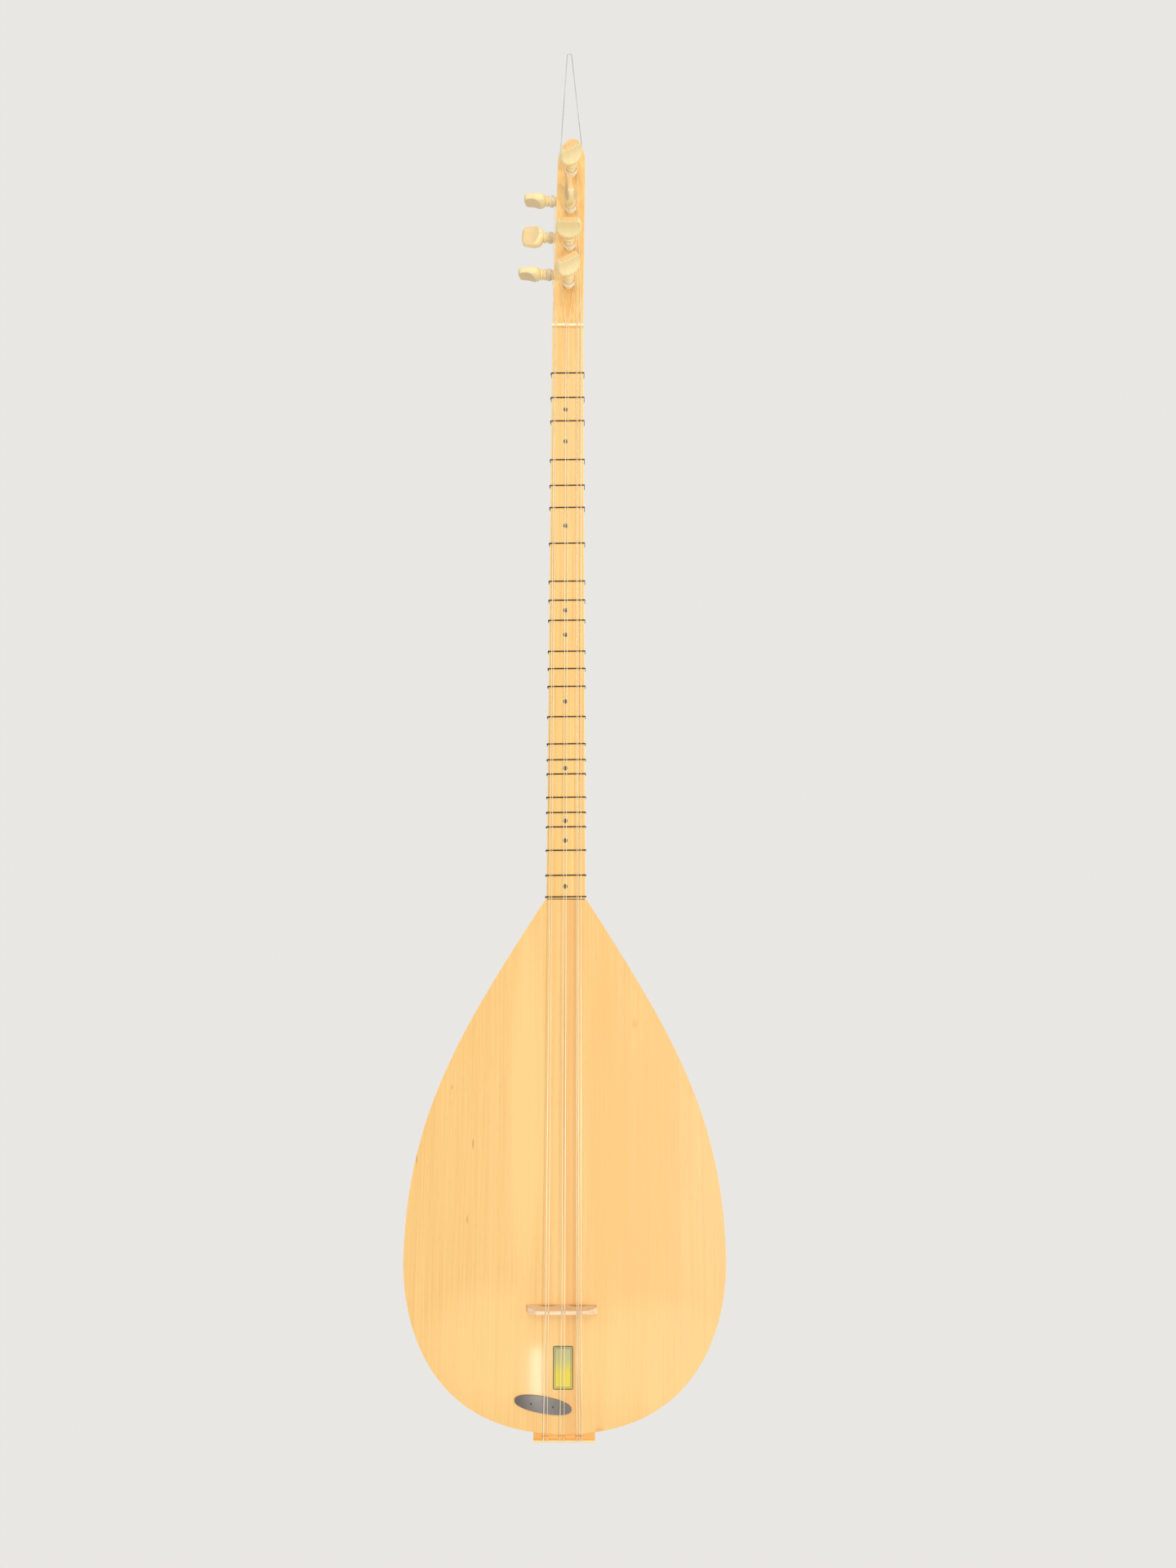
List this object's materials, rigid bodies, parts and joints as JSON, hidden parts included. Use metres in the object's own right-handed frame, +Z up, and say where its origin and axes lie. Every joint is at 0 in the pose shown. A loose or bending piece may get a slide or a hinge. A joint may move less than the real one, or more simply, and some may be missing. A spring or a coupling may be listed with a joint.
{
  "type": "long-neck saz",
  "caption": "Long-neck plucked lute with a pear-shaped staved bowl, tied frets, a head that leans back with scooped pegs, steel strings and a hanging wire.",
  "frame": {"origin": "top of the hanging wire's loop, where it bears on a screw or nail", "axes": "+Z up along the neck, -Y out of the soundboard towards the player's hand, +X to the right seen from the front"},
  "size_m": [0.2754, 0.2023, 1.3224],
  "materials": {
    "soundboard_wood": "glossy lacquered spruce, straight fine grain",
    "bowl_wood": "glossy lacquered hardwood staves",
    "neck_wood": "satin lacquered pale hardwood",
    "head_wood": "satin lacquered hardwood",
    "block_wood": "raw softwood",
    "peg_wood": "waxed pale boxwood",
    "bridge_wood": "raw maple",
    "tail_piece_wood": "lacquered orange hardwood",
    "nut_bone": "polished bone white",
    "dark_plate": "glossy dark",
    "fret_nylon": "dark nylon line",
    "string_steel": "bright drawn steel",
    "wire_steel": "thin galvanised wire"
  },
  "bodies": {
    "root": {"soundboard": "soundboard_wood", "bowl": "bowl_wood", "neck": "neck_wood", "neck_block": "block_wood", "tail_block": "block_wood", "headstock": "head_wood", "nut": "nut_bone", "tail_piece": "tail_piece_wood", "oval_plate": "dark_plate", "hanging_wire": "wire_steel", "string_1": "string_steel", "string_2": "string_steel", "string_3": "string_steel", "string_4": "string_steel", "string_5": "string_steel", "string_6": "string_steel", "string_7": "string_steel"},
    "bridge": {"bridge": "bridge_wood"},
    "peg_front_1": {"peg_front_1": "peg_wood", "winding_front_1": "string_steel"},
    "peg_front_2": {"peg_front_2": "peg_wood", "winding_front_2": "string_steel"},
    "peg_front_3": {"peg_front_3": "peg_wood", "winding_front_3": "string_steel"},
    "peg_front_4": {"peg_front_4": "peg_wood", "winding_front_4": "string_steel"},
    "peg_side_1": {"peg_side_1": "peg_wood", "winding_side_1": "string_steel"},
    "peg_side_2": {"peg_side_2": "peg_wood", "winding_side_2": "string_steel"},
    "peg_side_3": {"peg_side_3": "peg_wood", "winding_side_3": "string_steel"},
    "fret_01": {"fret_01": "fret_nylon"},
    "fret_02": {"fret_02": "fret_nylon"},
    "fret_03": {"fret_03": "fret_nylon"},
    "fret_04": {"fret_04": "fret_nylon"},
    "fret_05": {"fret_05": "fret_nylon"},
    "fret_06": {"fret_06": "fret_nylon"},
    "fret_07": {"fret_07": "fret_nylon"},
    "fret_08": {"fret_08": "fret_nylon"},
    "fret_09": {"fret_09": "fret_nylon"},
    "fret_10": {"fret_10": "fret_nylon"},
    "fret_11": {"fret_11": "fret_nylon"},
    "fret_12": {"fret_12": "fret_nylon"},
    "fret_13": {"fret_13": "fret_nylon"},
    "fret_14": {"fret_14": "fret_nylon"},
    "fret_15": {"fret_15": "fret_nylon"},
    "fret_16": {"fret_16": "fret_nylon"},
    "fret_17": {"fret_17": "fret_nylon"},
    "fret_18": {"fret_18": "fret_nylon"},
    "fret_19": {"fret_19": "fret_nylon"},
    "fret_20": {"fret_20": "fret_nylon"},
    "fret_21": {"fret_21": "fret_nylon"},
    "fret_22": {"fret_22": "fret_nylon"},
    "fret_23": {"fret_23": "fret_nylon"}
  },
  "joints": [
    {"name": "bridge_slide", "type": "slide", "parent": "root", "child": "bridge", "axis": [0, 0, 1], "range_m": [-0.003, 0.003]},
    {"name": "turn_peg_front_1", "type": "hinge", "parent": "root", "child": "peg_front_1", "pos_m": [0.00255, -0.01137, -0.14689], "axis": [0, -0.9903, 0.1392], "continuous": true},
    {"name": "turn_peg_front_2", "type": "hinge", "parent": "root", "child": "peg_front_2", "pos_m": [0.00192, -0.01764, -0.19145], "axis": [0, -0.9903, 0.1392], "continuous": true},
    {"name": "turn_peg_front_3", "type": "hinge", "parent": "root", "child": "peg_front_3", "pos_m": [0.00129, -0.0239, -0.23601], "axis": [0, -0.9903, 0.1392], "continuous": true},
    {"name": "turn_peg_front_4", "type": "hinge", "parent": "root", "child": "peg_front_4", "pos_m": [0.00066, -0.03016, -0.28056], "axis": [0, -0.9903, 0.1392], "continuous": true},
    {"name": "turn_peg_side_1", "type": "hinge", "parent": "root", "child": "peg_side_1", "pos_m": [-0.01206, -0.00309, -0.17057], "axis": [-0.9986, 0.0073, 0.0518], "continuous": true},
    {"name": "turn_peg_side_2", "type": "hinge", "parent": "root", "child": "peg_side_2", "pos_m": [-0.01289, -0.00935, -0.21513], "axis": [-0.9986, 0.0073, 0.0518], "continuous": true},
    {"name": "turn_peg_side_3", "type": "hinge", "parent": "root", "child": "peg_side_3", "pos_m": [-0.01371, -0.01561, -0.25968], "axis": [-0.9986, 0.0073, 0.0518], "continuous": true},
    {"name": "shift_fret_01", "type": "slide", "parent": "root", "child": "fret_01", "axis": [0, 0, 1], "range_m": [-0.003, 0.003]},
    {"name": "shift_fret_02", "type": "slide", "parent": "root", "child": "fret_02", "axis": [0, 0, 1], "range_m": [-0.003, 0.003]},
    {"name": "shift_fret_03", "type": "slide", "parent": "root", "child": "fret_03", "axis": [0, 0, 1], "range_m": [-0.003, 0.003]},
    {"name": "shift_fret_04", "type": "slide", "parent": "root", "child": "fret_04", "axis": [0, 0, 1], "range_m": [-0.003, 0.003]},
    {"name": "shift_fret_05", "type": "slide", "parent": "root", "child": "fret_05", "axis": [0, 0, 1], "range_m": [-0.003, 0.003]},
    {"name": "shift_fret_06", "type": "slide", "parent": "root", "child": "fret_06", "axis": [0, 0, 1], "range_m": [-0.003, 0.003]},
    {"name": "shift_fret_07", "type": "slide", "parent": "root", "child": "fret_07", "axis": [0, 0, 1], "range_m": [-0.003, 0.003]},
    {"name": "shift_fret_08", "type": "slide", "parent": "root", "child": "fret_08", "axis": [0, 0, 1], "range_m": [-0.003, 0.003]},
    {"name": "shift_fret_09", "type": "slide", "parent": "root", "child": "fret_09", "axis": [0, 0, 1], "range_m": [-0.003, 0.003]},
    {"name": "shift_fret_10", "type": "slide", "parent": "root", "child": "fret_10", "axis": [0, 0, 1], "range_m": [-0.003, 0.003]},
    {"name": "shift_fret_11", "type": "slide", "parent": "root", "child": "fret_11", "axis": [0, 0, 1], "range_m": [-0.003, 0.003]},
    {"name": "shift_fret_12", "type": "slide", "parent": "root", "child": "fret_12", "axis": [0, 0, 1], "range_m": [-0.003, 0.003]},
    {"name": "shift_fret_13", "type": "slide", "parent": "root", "child": "fret_13", "axis": [0, 0, 1], "range_m": [-0.003, 0.003]},
    {"name": "shift_fret_14", "type": "slide", "parent": "root", "child": "fret_14", "axis": [0, 0, 1], "range_m": [-0.003, 0.003]},
    {"name": "shift_fret_15", "type": "slide", "parent": "root", "child": "fret_15", "axis": [0, 0, 1], "range_m": [-0.003, 0.003]},
    {"name": "shift_fret_16", "type": "slide", "parent": "root", "child": "fret_16", "axis": [0, 0, 1], "range_m": [-0.003, 0.003]},
    {"name": "shift_fret_17", "type": "slide", "parent": "root", "child": "fret_17", "axis": [0, 0, 1], "range_m": [-0.003, 0.003]},
    {"name": "shift_fret_18", "type": "slide", "parent": "root", "child": "fret_18", "axis": [0, 0, 1], "range_m": [-0.003, 0.003]},
    {"name": "shift_fret_19", "type": "slide", "parent": "root", "child": "fret_19", "axis": [0, 0, 1], "range_m": [-0.003, 0.003]},
    {"name": "shift_fret_20", "type": "slide", "parent": "root", "child": "fret_20", "axis": [0, 0, 1], "range_m": [-0.003, 0.003]},
    {"name": "shift_fret_21", "type": "slide", "parent": "root", "child": "fret_21", "axis": [0, 0, 1], "range_m": [-0.003, 0.003]},
    {"name": "shift_fret_22", "type": "slide", "parent": "root", "child": "fret_22", "axis": [0, 0, 1], "range_m": [-0.003, 0.003]},
    {"name": "shift_fret_23", "type": "slide", "parent": "root", "child": "fret_23", "axis": [0, 0, 1], "range_m": [-0.001, 0.003]}
  ]
}
